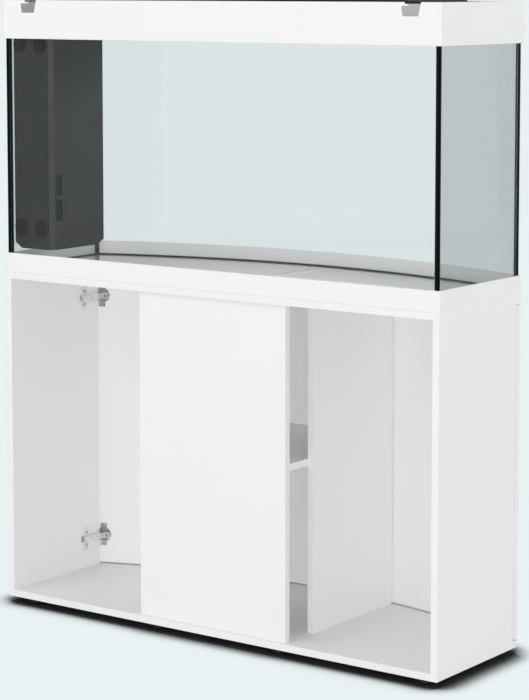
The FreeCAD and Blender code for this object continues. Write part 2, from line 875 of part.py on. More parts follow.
def make_silicone():
    """Black seams: one in each upright corner and one round the bottom pane."""
    inside = f"{HALF} - {PANE_IN}"
    low = f"{TANK_FLOOR} + glass + floor_bead_height"
    z = (low, GLASS_TOP)
    rear_in = f"{REAR} - {PANE_IN}"
    rear_out = f"{REAR} - {GLASS_IN}"
    outer_disc = bow_disc("corner_outer", PANE_IN, z)
    film_disc = bow_disc("corner_film", f"{PANE_IN} + seam", z)
    bead_disc = bow_disc("corner_bead", f"{PANE_IN} + corner_bead", z)
    corners = []
    for name, side in SIDES:
        x = mirrored(side, f"{inside} - seam", inside)
        film = block(f"{name}_rear_film", x, (rear_in, rear_out), (TANK_FLOOR, GLASS_TOP))
        corner = f"{side} * ({inside})"
        edge = f"{side} * ({inside} - corner_bead)"
        points = [(corner, rear_in), (edge, rear_in), (corner, f"{rear_in} - corner_bead")]
        bead = prism(f"{name}_rear_bead", points, z)
        corners.append(fuse(f"{name}_rear_seam", film, bead))
        x = mirrored(side, f"{inside} - corner_bead", f"{inside} + glass")
        stock = block(f"{name}_front_stock", x, (f"-{REAR}", "0"), z)
        film = cut(f"{name}_front_film", common(f"{name}_film_bent", stock, outer_disc), film_disc)
        x = mirrored(side, f"{inside} - corner_bead", inside)
        stock = block(f"{name}_bead_stock", x, (f"-{REAR}", "0"), z)
        bead = cut(f"{name}_front_bead", common(f"{name}_bead_bent", stock, film_disc), bead_disc)
        corners.append(fuse(f"{name}_front_seam", film, bead))
    group("corner_seams", *corners)
    film = bow_ring("floor_film", PANE_IN, f"{PANE_IN} + seam", (TANK_FLOOR, f"{TANK_FLOOR} + glass"))
    bead = bow_ring("floor_bead", PANE_IN, f"{PANE_IN} + bead", (f"{TANK_FLOOR} + glass", low))
    fuse("floor_seam_blank", film, bead)
    cut("floor_seam", doc.floor_seam_blank, corners_of_rear_films(rear_in))


def corners_of_rear_films(rear_in):
    """What the rear corner films take out of the seam round the bottom pane."""
    inside = f"{HALF} - {PANE_IN}"
    pieces = []
    for name, side in SIDES:
        x = mirrored(side, f"{inside} - seam", inside)
        pieces.append(
            block(f"{name}_film_foot", x, (rear_in, REAR), (TANK_FLOOR, GLASS_TOP))
        )
    return group("film_feet", *pieces)


# Hood

DECK_INSET = "(rim_width + deck_gap)"
FLAP_X = f"({HALF} - flap_side_inset)"
NOTCH_X = f"({HALF} - notch_inset)"
FLAP_AXIS_Y = f"({REAR} - flap_rear + barrel_radius)"
FLAP_AXIS_Z = f"({DECK_TOP} + barrel_radius + 0.3)"
FLAP_FRONT = f"({REAR} - flap_rear - flap_depth)"
HATCH_FRONT = f"({bow_y('hatch_width / 2', f'{BOW} - {DECK_INSET}')} + hatch_front)"
HATCH_AXIS_Y = f"({HATCH_FRONT} + hatch_depth + barrel_radius)"


def make_hood_frame():
    """The white hood: outer wall, ledge on the glass, rim and lip for the deck, two notches."""
    wall = bow_ring("hood_wall_ring", "0", "hood_wall", (HOOD_BOTTOM, TOP))
    z = (GLASS_TOP, f"{GLASS_TOP} + hood_ledge")
    ledge = bow_ring("hood_ledge_ring", "hood_wall / 2", "hood_wall + hood_ledge_width", z)
    rim = bow_ring("hood_rim", "hood_wall / 2", "rim_width", (f"{LIP_TOP} - lip_thickness", TOP))
    z = (f"{LIP_TOP} - lip_thickness", LIP_TOP)
    lip = bow_ring("hood_lip", "rim_width - 2", "rim_width + lip_width", z)
    whole = fuse("hood_whole", wall, ledge, rim, lip)
    cut("hood_frame", whole, group("notches", *[notch(name, side) for name, side in SIDES]))


def notch(name, side):
    """A trapezoidal cable notch, open upwards, through the rear wall and the rim."""
    corners = [
        (f"{side} * {NOTCH_X} + {end} * {width} / 2", z)
        for end, width, z in (
            (-1, "notch_bottom", f"{TOP} - notch_depth"),
            (1, "notch_bottom", f"{TOP} - notch_depth"),
            (1, "notch_top", f"{TOP} + 1"),
            (-1, "notch_top", f"{TOP} + 1"),
        )
    ]
    body = doc.addObject("PartDesign::Body", f"{name}_notch")
    pad = body.newObject("PartDesign::Pad", f"{name}_notch_pad")
    pad.Profile = outline_sketch(body, corners, "XZ_Plane")
    bind(pad, Length="notch_reach + 2")
    body.Tip = pad
    bind(body, Placement__Base__y=f"{REAR} + 1")
    return body


def barrel(label, x, length, y, z, radius="barrel_radius"):
    """A hinge barrel along x, from x on."""
    return rod(label, radius, length, x, y, z, Vector(1, 0, 0))


def hinge_line(label, centre, y, z):
    """One hinge: a middle barrel for the lid, two for the deck and the bore and pin through them."""
    half = "barrel_length / 2"
    bore = barrel(
        f"{label}_bore",
        f"{centre} - 1.5 * barrel_length",
        "3 * barrel_length",
        y,
        z,
        "flap_pin_radius + flap_pin_play",
    )
    pin = barrel(f"{label}_pin", f"{centre} - barrel_length", "2 * barrel_length", y, z, "flap_pin_radius")
    middle = barrel(f"{label}_middle", f"{centre} - {half}", "barrel_length", y, z)
    gap = f"({half} + barrel_gap)"
    ends = [
        barrel(f"{label}_low", f"{centre} - barrel_length", f"barrel_length - {gap}", y, z),
        barrel(f"{label}_high", f"{centre} + {gap}", f"barrel_length - {gap}", y, z),
    ]
    return bore, pin, middle, ends


def lid_web(label, centre, y, plate_z):
    """The web that joins a lid to its barrel."""
    half = "barrel_length / 2"
    x = (f"{centre} - {half}", f"{centre} + {half}")
    return block(label, x, (f"{y} - 2 * barrel_radius", y), plate_z)


def barrel_feet(label, centre, y, z):
    """The two lugs that carry the deck's barrels."""
    gap = "(barrel_length / 2 + barrel_gap)"
    spans = (
        (f"{centre} - barrel_length", f"{centre} - {gap}"),
        (f"{centre} + {gap}", f"{centre} + barrel_length"),
    )
    return [
        block(f"{label}_{i}", x, (f"{y} - barrel_radius", f"{y} + barrel_radius"), (f"{DECK_TOP} - 1", z))
        for i, x in enumerate(spans)
    ]


def flap_hinges(name, side):
    """Labels and centres of one flap's two hinges."""
    for index, share in enumerate(("0.2", "0.8")):
        yield f"{name}_flap_hinge_{index}", f"{side} * {share} * {FLAP_X}"


def make_deck():
    """The black deck inside the rim, open under the flaps and the feeding hatch."""
    z = (LIP_TOP, DECK_TOP)
    plate = bow_plate("deck_plate", DECK_INSET, z)
    over = "flap_overlap"
    deep = (f"{DECK_TOP} - 2 * deck_thickness", f"{DECK_TOP} + 1")
    openings = []
    for name, side in SIDES:
        x = mirrored(side, over, f"{FLAP_X} - {over}")
        y = (f"{FLAP_FRONT} + {over}", f"{REAR} - flap_rear - {over}")
        openings.append(block(f"{name}_flap_opening", x, y, deep))
        x = mirrored(side, f"{NOTCH_X} - notch_top / 2", f"{NOTCH_X} + notch_top / 2")
        y = (f"{REAR} - notch_reach", REAR)
        openings.append(block(f"{name}_deck_notch", x, y, deep))
    x = ("-hatch_width / 2 + 6", "hatch_width / 2 - 6")
    y = (f"{HATCH_FRONT} + 6", f"{HATCH_FRONT} + hatch_depth - 6")
    openings.append(block("hatch_opening", x, y, deep))
    return cut("deck_open", plate, group("deck_openings", *openings))


def make_lids():
    """The two flaps and the feeding hatch, their pins, and the deck's barrels."""
    deck_parts = [make_deck()]
    bores, pins = [], []
    plate_z = (f"{DECK_TOP} + 0.3", f"{DECK_TOP} + 0.3 + flap_thickness")
    for name, side in SIDES:
        x = mirrored(side, "flap_gap / 2", FLAP_X)
        rear = f"{FLAP_AXIS_Y} - 2 * barrel_radius"
        parts = [block(f"{name}_flap_plate", x, (FLAP_FRONT, rear), plate_z)]
        x = mirrored(side, f"({FLAP_X} - flap_tab_width) / 2", f"({FLAP_X} + flap_tab_width) / 2")
        y = (f"{FLAP_FRONT} - flap_tab_reach", f"{FLAP_FRONT} + 1")
        parts.append(block(f"{name}_flap_tab", x, y, plate_z))
        for label, centre in flap_hinges(name, side):
            bore, pin, middle, ends = hinge_line(label, centre, FLAP_AXIS_Y, FLAP_AXIS_Z)
            parts += [middle, lid_web(f"{label}_web", centre, FLAP_AXIS_Y, plate_z)]
            deck_parts += ends + barrel_feet(f"{label}_lug", centre, FLAP_AXIS_Y, FLAP_AXIS_Z)
            bores.append(bore)
            pins.append(pin)
        bore_group = group(f"{name}_flap_bores", *bores[-2:])
        cut(f"{name}_flap", fuse(f"{name}_flap_blank", *parts), bore_group)
    x = ("-hatch_width / 2", "hatch_width / 2")
    y = (HATCH_FRONT, f"{HATCH_AXIS_Y} - 2 * barrel_radius")
    plate_z = (f"{DECK_TOP} + 0.3", f"{DECK_TOP} + 0.3 + hatch_thickness")
    bore, pin, middle, ends = hinge_line("hatch_hinge", "0", HATCH_AXIS_Y, FLAP_AXIS_Z)
    parts = [block("hatch_plate", x, y, plate_z), middle]
    parts.append(lid_web("hatch_web", "0", HATCH_AXIS_Y, plate_z))
    cut("feeding_hatch", fuse("hatch_blank", *parts), bore)
    group("lid_hinge_pins", *pins, pin)
    deck_parts += ends + barrel_feet("hatch_lug", "0", HATCH_AXIS_Y, FLAP_AXIS_Z)
    cut("hood_deck", fuse("deck_blank", *deck_parts), group("deck_bores", *bores, bore))


# Light


TUBE_END = f"({HALF} - tube_end_inset)"


def make_light():
    """A channel across the hood's ledge that carries two tubes in four sockets."""
    length = f"{HALF} - hood_wall - light_bar_play"
    low = f"{GLASS_TOP} + hood_ledge"
    y = ("light_y - light_bar_width / 2", "light_y + light_bar_width / 2")
    z = (low, f"{low} + light_bar_height")
    outer = block("bar_outer", (f"-({length})", length), y, z)
    wall = "light_bar_wall"
    hollow = block(
        "bar_hollow",
        (f"-({length}) + {wall}", f"{length} - {wall}"),
        (f"{y[0]} + {wall}", f"{y[1]} - {wall}"),
        (f"{low} + {wall}", f"{z[1]} + 1"),
    )
    cut("light_bar", outer, hollow)
    tubes, sockets = [], []
    tube_z = f"{low} - tube_drop"
    start = f"-{TUBE_END}"
    for row, side in (("front", -1), ("rear", 1)):
        tube_y = f"light_y + {side} * tube_spread"
        label = f"{row}_light_tube"
        tubes.append(rod(label, "tube_radius", f"2 * {TUBE_END}", start, tube_y, tube_z, Vector(1, 0, 0)))
        for name, end in SIDES:
            label = f"{row}_{name}_socket"
            sockets.append(socket(label, end, tube_y, tube_z, low))
    group("light_tubes", *tubes)
    group("tube_sockets", *sockets)


def socket(label, end, y, z, bar):
    """A cap over one end of a tube, hung from the bar by a foot."""
    x = f"{end} * ({TUBE_END} - socket_bite)"
    cap = rod(f"{label}_cap", "socket_radius", "socket_length", x, y, z, Vector(end, 0, 0))
    bore = rod(f"{label}_bore", "tube_radius + tube_play", "socket_bite", x, y, z, Vector(end, 0, 0))
    span = mirrored(end, TUBE_END, f"{TUBE_END} + 12")
    foot = block(f"{label}_foot", span, (f"{y} - 6", f"{y} + 6"), (z, bar))
    return cut(label, fuse(f"{label}_blank", cap, foot), bore)


# Filter, in the rear right corner of the tank

FILTER_HIGH_X = f"({HALF} - {PANE_IN} - filter_side_gap)"
FILTER_LOW_X = f"({FILTER_HIGH_X} - filter_width)"
FILTER_HIGH_Y = f"({REAR} - {PANE_IN} - filter_rear_gap)"
FILTER_LOW_Y = f"({FILTER_HIGH_Y} - filter_depth)"
FILTER_SEAM = "(filter_bottom + filter_base_height)"
FILTER_TOP = f"({GLASS_TOP} - filter_top_gap)"
SHAFT_LOW_Y = f"({FILTER_LOW_Y} + divider_y + filter_wall)"
NOZZLE_X = f"({FILTER_LOW_X} + filter_width / 2)"
NOZZLE_Z = f"({FILTER_TOP} - nozzle_drop)"


def filter_outline(inset):
    """The housing's outline with its corners cut off, moved in by inset.

    The cut of the corner in the tank's own corner is the small one, past the silicone.
    """
    low_x, high_x = f"{FILTER_LOW_X} + {inset}", f"{FILTER_HIGH_X} - {inset}"
    low_y, high_y = f"{FILTER_LOW_Y} + {inset}", f"{FILTER_HIGH_Y} - {inset}"
    wide = f"(filter_chamfer - (2 - sqrt(2)) * {inset})"
    small = f"(filter_corner_chamfer - (2 - sqrt(2)) * {inset})"
    return [
        (f"{low_x} + {wide}", low_y),
        (f"{high_x} - {wide}", low_y),
        (high_x, f"{low_y} + {wide}"),
        (high_x, f"{high_y} - {small}"),
        (f"{high_x} - {small}", high_y),
        (f"{low_x} + {wide}", high_y),
        (low_x, f"{high_y} - {wide}"),
        (low_x, f"{low_y} + {wide}"),
    ]


def make_filter_housing():
    """An open-topped shaft with two pairs of inlet slots and a bore for the outlet."""
    blank = prism("filter_blank", filter_outline("0"), (FILTER_SEAM, FILTER_TOP))
    inside = (f"{FILTER_SEAM} - 1", f"{FILTER_TOP} + 1")
    hollow = prism("filter_hollow", filter_outline("filter_wall"), inside)
    tools = [hollow]
    x = (f"{FILTER_LOW_X} - 1", f"{FILTER_LOW_X} + filter_wall + 1")
    for row in range(2):
        low = f"(slot_low + {row} * (slot_height + slot_gap))"
        for column in range(2):
            high_y = f"({FILTER_HIGH_Y} - slot_inset - {column} * (slot_width + slot_rib))"
            y = (f"{high_y} - slot_width", high_y)
            tools.append(block(f"inlet_{row}_{column}", x, y, (low, f"{low} + slot_height")))
    tools.append(
        rod(
            "outlet_bore",
            "nozzle_radius + nozzle_play",
            "filter_wall + 2",
            NOZZLE_X,
            f"{FILTER_LOW_Y} - 1",
            NOZZLE_Z,
            Vector(0, 1, 0),
        )
    )
    cut("filter_housing", blank, group("filter_cuts", *tools))


def make_filter_base():
    """The closed foot of the housing, tapered towards the tank's middle of the floor."""
    wedge = doc.addObject("Part::Wedge", "base_wedge")
    wedge.Placement = Placement(Vector(), Rotation(Vector(1, 0, 0), 90))
    bind(
        wedge,
        Xmin=FILTER_LOW_X,
        Xmax=f"{FILTER_HIGH_X} - base_side_taper",
        X2min=FILTER_LOW_X,
        X2max=FILTER_HIGH_X,
        Ymin="0",
        Ymax="filter_base_height",
        Zmin=f"-{FILTER_HIGH_Y}",
        Zmax=f"-{FILTER_LOW_Y} - base_front_taper",
        Z2min=f"-{FILTER_HIGH_Y}",
        Z2max=f"-{FILTER_LOW_Y}",
        Placement__Base__z="filter_bottom",
    )
    outline = prism("base_outline", filter_outline("0"), ("filter_bottom", FILTER_SEAM))
    common("filter_base", wedge, outline)


def make_filter_pads():
    """Four round pads between the housing and the rear pane."""
    pads = []
    for column in ("pad_inset", "pad_inset + pad_spacing"):
        for z in ("filter_bottom + pad_low", f"{FILTER_TOP} - pad_high"):
            x = f"{FILTER_HIGH_X} - {column.replace(' + ', ' - ')}"
            label = f"filter_pad_{len(pads)}"
            pads.append(rod(label, "pad_radius", "filter_rear_gap", x, FILTER_HIGH_Y, z, Vector(0, 1, 0)))
    group("filter_pads", *pads)


def make_divider():
    """The wall between the filter shaft and the heater shaft, open at its foot."""
    inset = "(filter_wall + divider_play)"
    low_y = f"{FILTER_LOW_Y} + divider_y"
    plate = block(
        "divider_plate",
        (f"{FILTER_LOW_X} + {inset}", f"{FILTER_HIGH_X} - {inset}"),
        (low_y, f"{low_y} + filter_wall"),
        (f"{FILTER_SEAM} + divider_window", f"{FILTER_TOP} - 4"),
    )
    half = "(pipe_radius + divider_play)"
    slot = block(
        "divider_slot",
        (f"{NOZZLE_X} - {half}", f"{NOZZLE_X} + {half}"),
        (f"{low_y} - 1", f"{low_y} + filter_wall + 1"),
        (f"{NOZZLE_Z} - {half}", FILTER_TOP),
    )
    cut("filter_divider", plate, slot)


def make_media():
    """Sponges on the filter's foot, the basket on them and the pump on the basket."""
    x, y = media_span()
    sponges = []
    for index in range(int(size("sponge_count"))):
        low = f"({FILTER_SEAM} + {index} * sponge_height)"
        sponges.append(block(f"sponge_{index}", x, y, (low, f"{low} + sponge_height - 0.5")))
    group("filter_sponges", *sponges)
    low = f"({FILTER_SEAM} + sponge_count * sponge_height)"
    outer = block("basket_outer", x, y, (low, f"{low} + basket_height"))
    wall = "basket_wall"
    inner = block(
        "basket_inner",
        (f"{x[0]} + {wall}", f"{x[1]} - {wall}"),
        (f"{y[0]} + {wall}", f"{y[1]} - {wall}"),
        (f"{low} + {wall}", f"{low} + basket_height + 1"),
    )
    cut("filter_basket", outer, inner)


def media_span():
    """The x and y ranges of what stacks up in the filter's rear shaft."""
    inset = "(filter_wall + media_play)"
    x = (f"{FILTER_LOW_X} + {inset}", f"{FILTER_HIGH_X} - {inset}")
    high_y = f"{FILTER_HIGH_Y} - filter_wall - filter_chamfer - media_play"
    return x, (f"{SHAFT_LOW_Y} + media_play", high_y)


def make_pump():
    """The pump on its plate over the basket, and its pipe, which ends behind the outlet."""
    x, y = media_span()
    low = f"({FILTER_SEAM} + sponge_count * sponge_height + basket_height)"
    high = f"({low} + pump_height)"
    pipe_y = f"({SHAFT_LOW_Y} + media_play + pipe_radius + 8)"
    mid_y = f"({SHAFT_LOW_Y} + media_play + pump_depth / 2)"
    plate = block("pump_plate", x, y, (low, f"{low} + pump_plate_thickness"))
    body = block(
        "pump_block",
        (f"{NOZZLE_X} - pump_width / 2", f"{NOZZLE_X} + pump_width / 2"),
        (f"{SHAFT_LOW_Y} + media_play", f"{SHAFT_LOW_Y} + media_play + pump_depth"),
        (low, high),
    )
    motor = rod("pump_motor", "pump_motor_radius", "pump_height + 14", NOZZLE_X, f"{mid_y} + 12", low)
    rise = rod("pipe_rise", "pipe_radius", f"{NOZZLE_Z} - {high} + 1", NOZZLE_X, pipe_y, f"{high} - 1")
    bend = doc.addObject("Part::Sphere", "pipe_bend")
    bind(
        bend,
        Radius="pipe_radius",
        Placement__Base__x=NOZZLE_X,
        Placement__Base__y=pipe_y,
        Placement__Base__z=NOZZLE_Z,
    )
    run = f"{pipe_y} - {FILTER_LOW_Y} - filter_wall - nozzle_tail - 0.5"
    run = rod("pipe_run", "pipe_radius", run, NOZZLE_X, pipe_y, NOZZLE_Z, Vector(0, -1, 0))
    fuse("filter_pump", plate, body, motor, rise, bend, run)


def make_heater():
    """A glass heater rod in the front shaft, with its cap and its two clips."""
    y = f"({FILTER_LOW_Y} + divider_y / 2 + 4)"
    x = f"({FILTER_HIGH_X} - 34)"
    top = f"({FILTER_TOP} - 70)"
    rod("heater_rod", "heater_radius", "heater_length", x, y, f"{top} - heater_length")
    rod("heater_cap", "heater_cap_radius", "heater_cap_height", x, y, top)
    clips = []
    for index, drop in enumerate(("60", "heater_length - 60")):
        z = f"({top} - {drop})"
        ring = rod(f"clip_ring_{index}", "heater_radius + 3", "10", x, y, z)
        span = (x, f"{FILTER_HIGH_X} - filter_wall")
        foot = block(f"clip_foot_{index}", span, (f"{y} - 5", f"{y} + 5"), (z, f"{z} + 10"))
        hole = rod(f"clip_hole_{index}", "heater_radius + heater_play", "12", x, y, f"{z} - 1")
        clips.append(cut(f"clip_{index}", fuse(f"clip_blank_{index}", ring, foot), hole))
    group("heater_clips", *clips)


def outlet_rod(label, radius, length, start):
    """A part of the nozzle that is round about its turning axis, from start towards -Y."""
    return rod(label, radius, length, NOZZLE_X, start, NOZZLE_Z, Vector(0, -1, 0))


def spout_rod(label, radius, length):
    """A part of the nozzle's slanted spout."""
    z = f"{NOZZLE_Z} + 1"
    return rod(label, radius, length, NOZZLE_X, f"{FILTER_LOW_Y} - 2", z, Vector(0.5, -1, -0.35))


def make_outlet():
    """The outlet nozzle, which turns in the housing's wall between a collar and a keeper."""
    inner = f"({FILTER_LOW_Y} + filter_wall)"
    tail = "filter_wall + nozzle_tail + nozzle_gap"
    through = outlet_rod("nozzle_through", "nozzle_radius", tail, f"{inner} + nozzle_tail")
    collar = outlet_rod("nozzle_collar_disc", "nozzle_collar", "3", f"{FILTER_LOW_Y} - nozzle_gap")
    keeper = outlet_rod("nozzle_keeper", "nozzle_radius + 1.5", "2", f"{inner} + nozzle_gap + 2")
    spout = spout_rod("nozzle_spout", "nozzle_radius - 1", "nozzle_length")
    solid = fuse("nozzle_solid", through, collar, keeper, spout)
    start = f"{inner} + nozzle_tail + 1"
    bore = outlet_rod("nozzle_bore", "nozzle_radius - nozzle_wall", f"{tail} + 3", start)
    spout_bore = spout_rod("spout_bore", "nozzle_radius - nozzle_wall", "nozzle_length + 4")
    cut("outlet_nozzle", solid, group("nozzle_bores", bore, spout_bore))


NODES = """
bottom_board top_board left_side_panel right_side_panel left_partition right_partition rear_centre_panel
centre_shelf shelf_pins feet foot_screws carcass_screws
left_door right_door hinge_plates hinge_arms hinge_arm_pins hinge_plate_screws
left_hinge_links right_hinge_links left_hinge_cups right_hinge_cups
left_cup_pins right_cup_pins left_cup_screws right_cup_screws
left_catch_housing right_catch_housing left_catch_plunger right_catch_plunger door_bumpers
tank_bottom_frame bottom_pane rear_pane left_pane right_pane front_pane corner_seams floor_seam
hood_frame hood_deck left_flap right_flap feeding_hatch lid_hinge_pins
light_bar light_tubes tube_sockets
filter_housing filter_base filter_pads filter_divider filter_sponges filter_basket filter_pump
heater_rod heater_cap heater_clips outlet_nozzle
""".split()


def check(objects):
    """Stops before anything is written if an object failed or a sub-part has no sound solid."""
    for thing in doc.Objects:
        if {"Invalid", "Error"} & set(thing.State):
            raise RuntimeError(f"{thing.Label} failed: {thing.State}")
    for thing in objects:
        if thing.Shape.isNull() or not thing.Shape.isValid() or not thing.Shape.Solids:
            raise RuntimeError(f"{thing.Label} has no valid solid")


def main():
    """Builds every piece and writes each sub-part's shape."""
    make_carcass()
    make_shelf()
    make_feet()
    make_doors()
    make_hinges()
    make_catches()
    make_tank_frame()
    make_panes()
    make_silicone()
    make_hood_frame()
    make_lids()
    make_light()
    make_filter_housing()
    make_filter_base()
    make_filter_pads()
    make_divider()
    make_media()
    make_pump()
    make_heater()
    make_outlet()
    doc.recompute()
    nodes = [doc.getObjectsByLabel(name)[0] for name in NODES]
    check(nodes)
    os.makedirs("parts", exist_ok=True)
    for node in nodes:
        node.Shape.exportStep(f"parts/{node.Label}.step")
        print(f"{node.Label}: {len(node.Shape.Solids)} solid(s), {node.Shape.Volume / 1000:.1f} cm3")


main()
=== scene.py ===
import json
import math

import bmesh
import bpy
from mathutils import Matrix, Vector, noise


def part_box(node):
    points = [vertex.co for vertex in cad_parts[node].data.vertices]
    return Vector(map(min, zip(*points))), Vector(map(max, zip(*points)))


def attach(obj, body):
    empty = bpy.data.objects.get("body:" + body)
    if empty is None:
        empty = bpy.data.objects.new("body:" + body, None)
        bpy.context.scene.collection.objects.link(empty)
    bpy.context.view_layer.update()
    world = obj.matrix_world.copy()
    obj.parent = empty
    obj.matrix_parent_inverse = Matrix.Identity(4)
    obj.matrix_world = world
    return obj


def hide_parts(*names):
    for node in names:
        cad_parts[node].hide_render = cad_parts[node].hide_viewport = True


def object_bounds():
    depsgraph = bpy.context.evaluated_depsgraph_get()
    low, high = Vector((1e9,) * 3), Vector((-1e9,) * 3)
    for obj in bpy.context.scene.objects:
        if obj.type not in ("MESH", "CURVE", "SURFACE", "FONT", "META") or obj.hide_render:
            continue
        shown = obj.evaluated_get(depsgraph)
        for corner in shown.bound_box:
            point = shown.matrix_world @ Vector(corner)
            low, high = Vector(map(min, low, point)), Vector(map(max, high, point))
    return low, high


# Looks of a bow-front aquarium on its cabinet. Metres, +Z up, the bowed front faces -Y, the open rear +Y.

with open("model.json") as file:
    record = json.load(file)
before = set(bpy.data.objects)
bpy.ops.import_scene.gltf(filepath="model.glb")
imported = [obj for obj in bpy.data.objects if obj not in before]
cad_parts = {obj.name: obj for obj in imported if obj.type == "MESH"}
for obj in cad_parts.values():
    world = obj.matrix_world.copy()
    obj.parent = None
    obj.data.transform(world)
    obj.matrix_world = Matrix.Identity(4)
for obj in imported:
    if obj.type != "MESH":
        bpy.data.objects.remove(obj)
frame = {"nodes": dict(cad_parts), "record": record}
CAD_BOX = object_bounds()
NODES = frame["nodes"]
MM = 0.001
SAME_POINT = 0.02 * MM

# Materials. Lengths in a material are in metres, noise scales in cycles per metre.


class Shader:
    """A node material that is put together socket by socket."""

    def __init__(self, name):
        self.material = bpy.data.materials.new(name)
        self.material.use_nodes = True
        self.tree = self.material.node_tree
        self.tree.nodes.clear()

    def add(self, kind, inputs=(), **settings):
        """Adds a node. inputs maps a socket's name or number to a value or to another node's output."""
        node = self.tree.nodes.new("ShaderNode" + kind)
        for key, setting in settings.items():
            setattr(node, key, setting)
        for key, value in dict(inputs).items():
            if isinstance(value, bpy.types.NodeSocket):
                self.tree.links.new(value, node.inputs[key])
            else:
                node.inputs[key].default_value = value
        return node

    def out(self, surface):
        """Ends the material."""
        self.add("OutputMaterial", {"Surface": surface})
        return self.material

    def place(self):
        """The point on the piece, in its own frame."""
        return self.add("TexCoord").outputs["Object"]

    def noise(self, scale, detail=2.0, rough=0.5, vector=None):
        """A field of noise from 0 to 1. scale is in cycles per metre."""
        inputs = {"Vector": vector or self.place(), "Scale": scale, "Detail": detail, "Roughness": rough}
        return self.add("TexNoise", inputs).outputs[0]

    def ramp(self, value, low, high, start=0.3, end=0.7):
        """value from start to end becomes low to high."""
        inputs = {0: value, 1: start, 2: end, 3: low, 4: high}
        return self.add("MapRange", inputs).outputs[0]

    def blend(self, value, low, high):
        """A colour between two others."""
        node = self.add("Mix", data_type="RGBA")
        self.tree.links.new(value, node.inputs[0])
        node.inputs[6].default_value = (*low, 1)
        node.inputs[7].default_value = (*high, 1)
        return node.outputs[2]

    def math(self, operation, *values):
        """Arithmetic on one or two values."""
        return self.add("Math", dict(enumerate(values)), operation=operation).outputs[0]

    def bump(self, height, depth, normal=None):
        """A relief, depth metres high."""
        inputs = {"Height": height, "Distance": depth, "Strength": 1.0}
        if normal:
            inputs["Normal"] = normal
        return self.add("Bump", inputs).outputs[0]

    def principled(self, **inputs):
        """The main shader. An underscore in a name stands for a space."""
        named = {key.replace("_", " "): value for key, value in inputs.items()}
        return self.add("BsdfPrincipled", named).outputs[0]


def grey(level, blue=0.0):
    """A neutral colour, or one that is a little blue."""
    return (level, level, level + blue)


def white_board():
    """Melamine on chipboard: a fine pebbled film, near white."""
    s = Shader("white_board")
    tone = s.ramp(s.noise(2.5, 3), 0, 1)
    film = s.bump(s.noise(900, 3, 0.6), 0.000004)
    wave = s.bump(s.noise(12, 2), 0.00004, film)
    rough = s.ramp(s.noise(60, 4), 0.36, 0.46)
    colour = s.blend(tone, grey(0.868), grey(0.874))
    return s.out(s.principled(Base_Color=colour, Roughness=rough, Normal=wave))


def moulded(name, low, high, roughness, grain, depth, scuffs=0.0, gloss=0.5):
    """Moulded plastic: a fine eroded grain, a little unevenness in tone and gloss, and light scuffs."""
    s = Shader(name)
    tone = s.ramp(s.noise(8, 4), 0, 1)
    skin = s.bump(s.noise(grain, 2, 0.7), depth)
    sink = s.bump(s.noise(9, 1), 0.00003, skin)
    rough = s.ramp(s.noise(110, 5, 0.65), roughness[0], roughness[1])
    if scuffs:
        stretched = s.add("Mapping", {"Vector": s.place(), "Scale": (1, 12, 1)}).outputs[0]
        marks = s.noise(160, 6, 0.75, stretched)
        rough = s.math("ADD", rough, s.ramp(marks, 0, scuffs, 0.55, 0.75))
    colour = s.blend(tone, low, high)
    return s.out(
        s.principled(Base_Color=colour, Roughness=rough, Specular_IOR_Level=gloss, Normal=sink)
    )


def let_light_pass(s, glass, tint):
    """Ends a glass: lamps and bounced light go straight through it, a little tinted."""
    clear = s.add("BsdfTransparent", {"Color": (*tint, 1)}).outputs[0]
    path = s.add("LightPath").outputs
    passing = s.math("MAXIMUM", path["Is Shadow Ray"], path["Is Diffuse Ray"])
    return s.out(s.add("MixShader", {0: passing, 1: glass, 2: clear}).outputs[0])


def pane_glass(name, tint):
    """Float glass with a faint ripple."""
    s = Shader(name)
    glass = s.principled(
        Base_Color=(*tint, 1),
        Roughness=0.0,
        IOR=1.33,
        Transmission_Weight=1.0,
        Normal=s.bump(s.noise(3, 1), 0.00002),
    )
    return let_light_pass(s, glass, (0.985, 0.99, 0.99))


def thin_glass():
    """The heater's tube, a little greener than the panes."""
    s = Shader("heater_glass")
    streaks = s.ramp(s.noise(90, 4), 0.02, 0.08)
    glass = s.principled(
        Base_Color=(0.90, 0.95, 0.94, 1), Roughness=streaks, IOR=1.47, Transmission_Weight=1.0
    )
    return let_light_pass(s, glass, (0.9, 0.94, 0.93))


def lamp_tube():
    """A fluorescent tube that is off: white powder behind clear glass."""
    s = Shader("tube_glass")
    powder = s.ramp(s.noise(45, 4), 0, 1)
    colour = s.blend(powder, (0.80, 0.81, 0.82), (0.87, 0.88, 0.89))
    rough = s.ramp(s.noise(300, 3), 0.5, 0.65)
    return s.out(
        s.principled(Base_Color=colour, Roughness=rough, Coat_Weight=1.0, Coat_Roughness=0.04)
    )


def silicone():
    """Black sealant, smoothed by hand: soft ripples under a low gloss."""
    s = Shader("black_silicone")
    stretched = s.add("Mapping", {"Vector": s.place(), "Scale": (1, 1, 0.15)}).outputs[0]
    ripple = s.bump(s.noise(120, 3, 0.5, stretched), 0.0003)
    rough = s.ramp(s.noise(200, 3), 0.28, 0.42)
    colour = s.blend(s.noise(60, 2), (0.010, 0.011, 0.012), (0.016, 0.017, 0.018))
    return s.out(s.principled(Base_Color=colour, Roughness=rough, Normal=ripple))


def plated(name, low, high, roughness, scratch):
    """Plated steel: drawing marks along it and dull spots."""
    s = Shader(name)
    stretched = s.add("Mapping", {"Vector": s.place(), "Scale": (1, 1, 9)}).outputs[0]
    marks = s.noise(700, 4, 0.7, stretched)
    rough = s.ramp(s.noise(240, 4, 0.6), roughness[0], roughness[1])
    colour = s.blend(s.ramp(s.noise(90, 4), 0, 1), low, high)
    return s.out(
        s.principled(Base_Color=colour, Metallic=1.0, Roughness=rough, Normal=s.bump(marks, scratch))
    )


